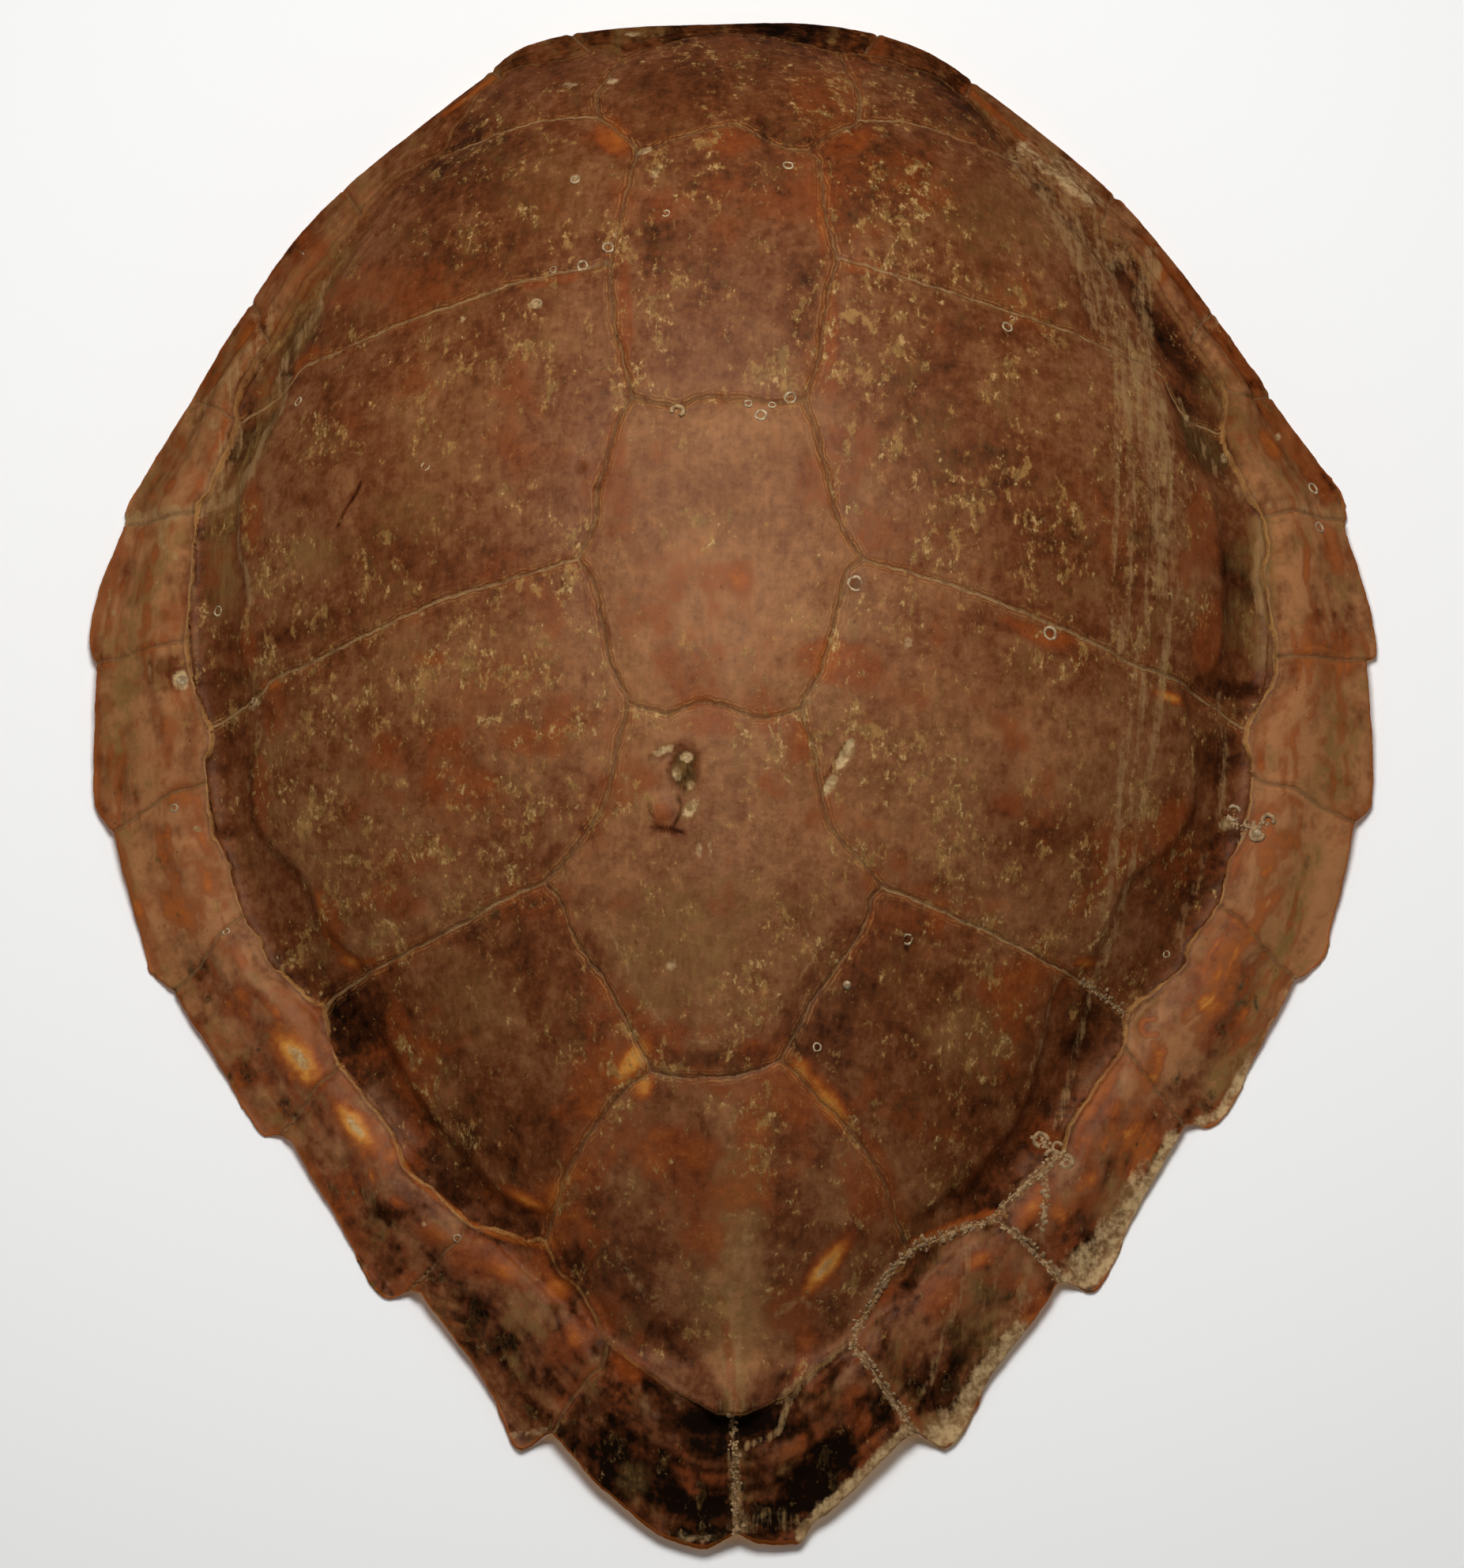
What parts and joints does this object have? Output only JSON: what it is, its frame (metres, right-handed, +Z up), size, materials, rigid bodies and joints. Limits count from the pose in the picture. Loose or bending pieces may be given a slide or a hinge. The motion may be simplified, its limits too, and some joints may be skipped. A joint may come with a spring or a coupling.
{
  "type": "sea turtle carapace",
  "caption": "Domed upper shell of a sea turtle with a saw-toothed brim, keeled tail and ribbed hollow underside, resting on its rim.",
  "frame": {"origin": "centre of the footprint, on the surface that the rim rests on", "axes": "+Z up out of the dome, +Y towards the head end, +X to the right seen from above with the head away from the viewer"},
  "size_m": [0.6511, 0.8135, 0.178],
  "materials": {
    "horn_plates": "dry reddish-brown keratin horn plates over bone, satin, flecked with tan, worn pale along the rear rim",
    "shell_bone": "dry ivory-tan bone of the underside, matt and slightly porous",
    "lime_growth": "chalky lime of barnacle scars and worm tubes"
  },
  "bodies": {
    "root": {"carapace": "horn_plates"}
  },
  "joints": []
}
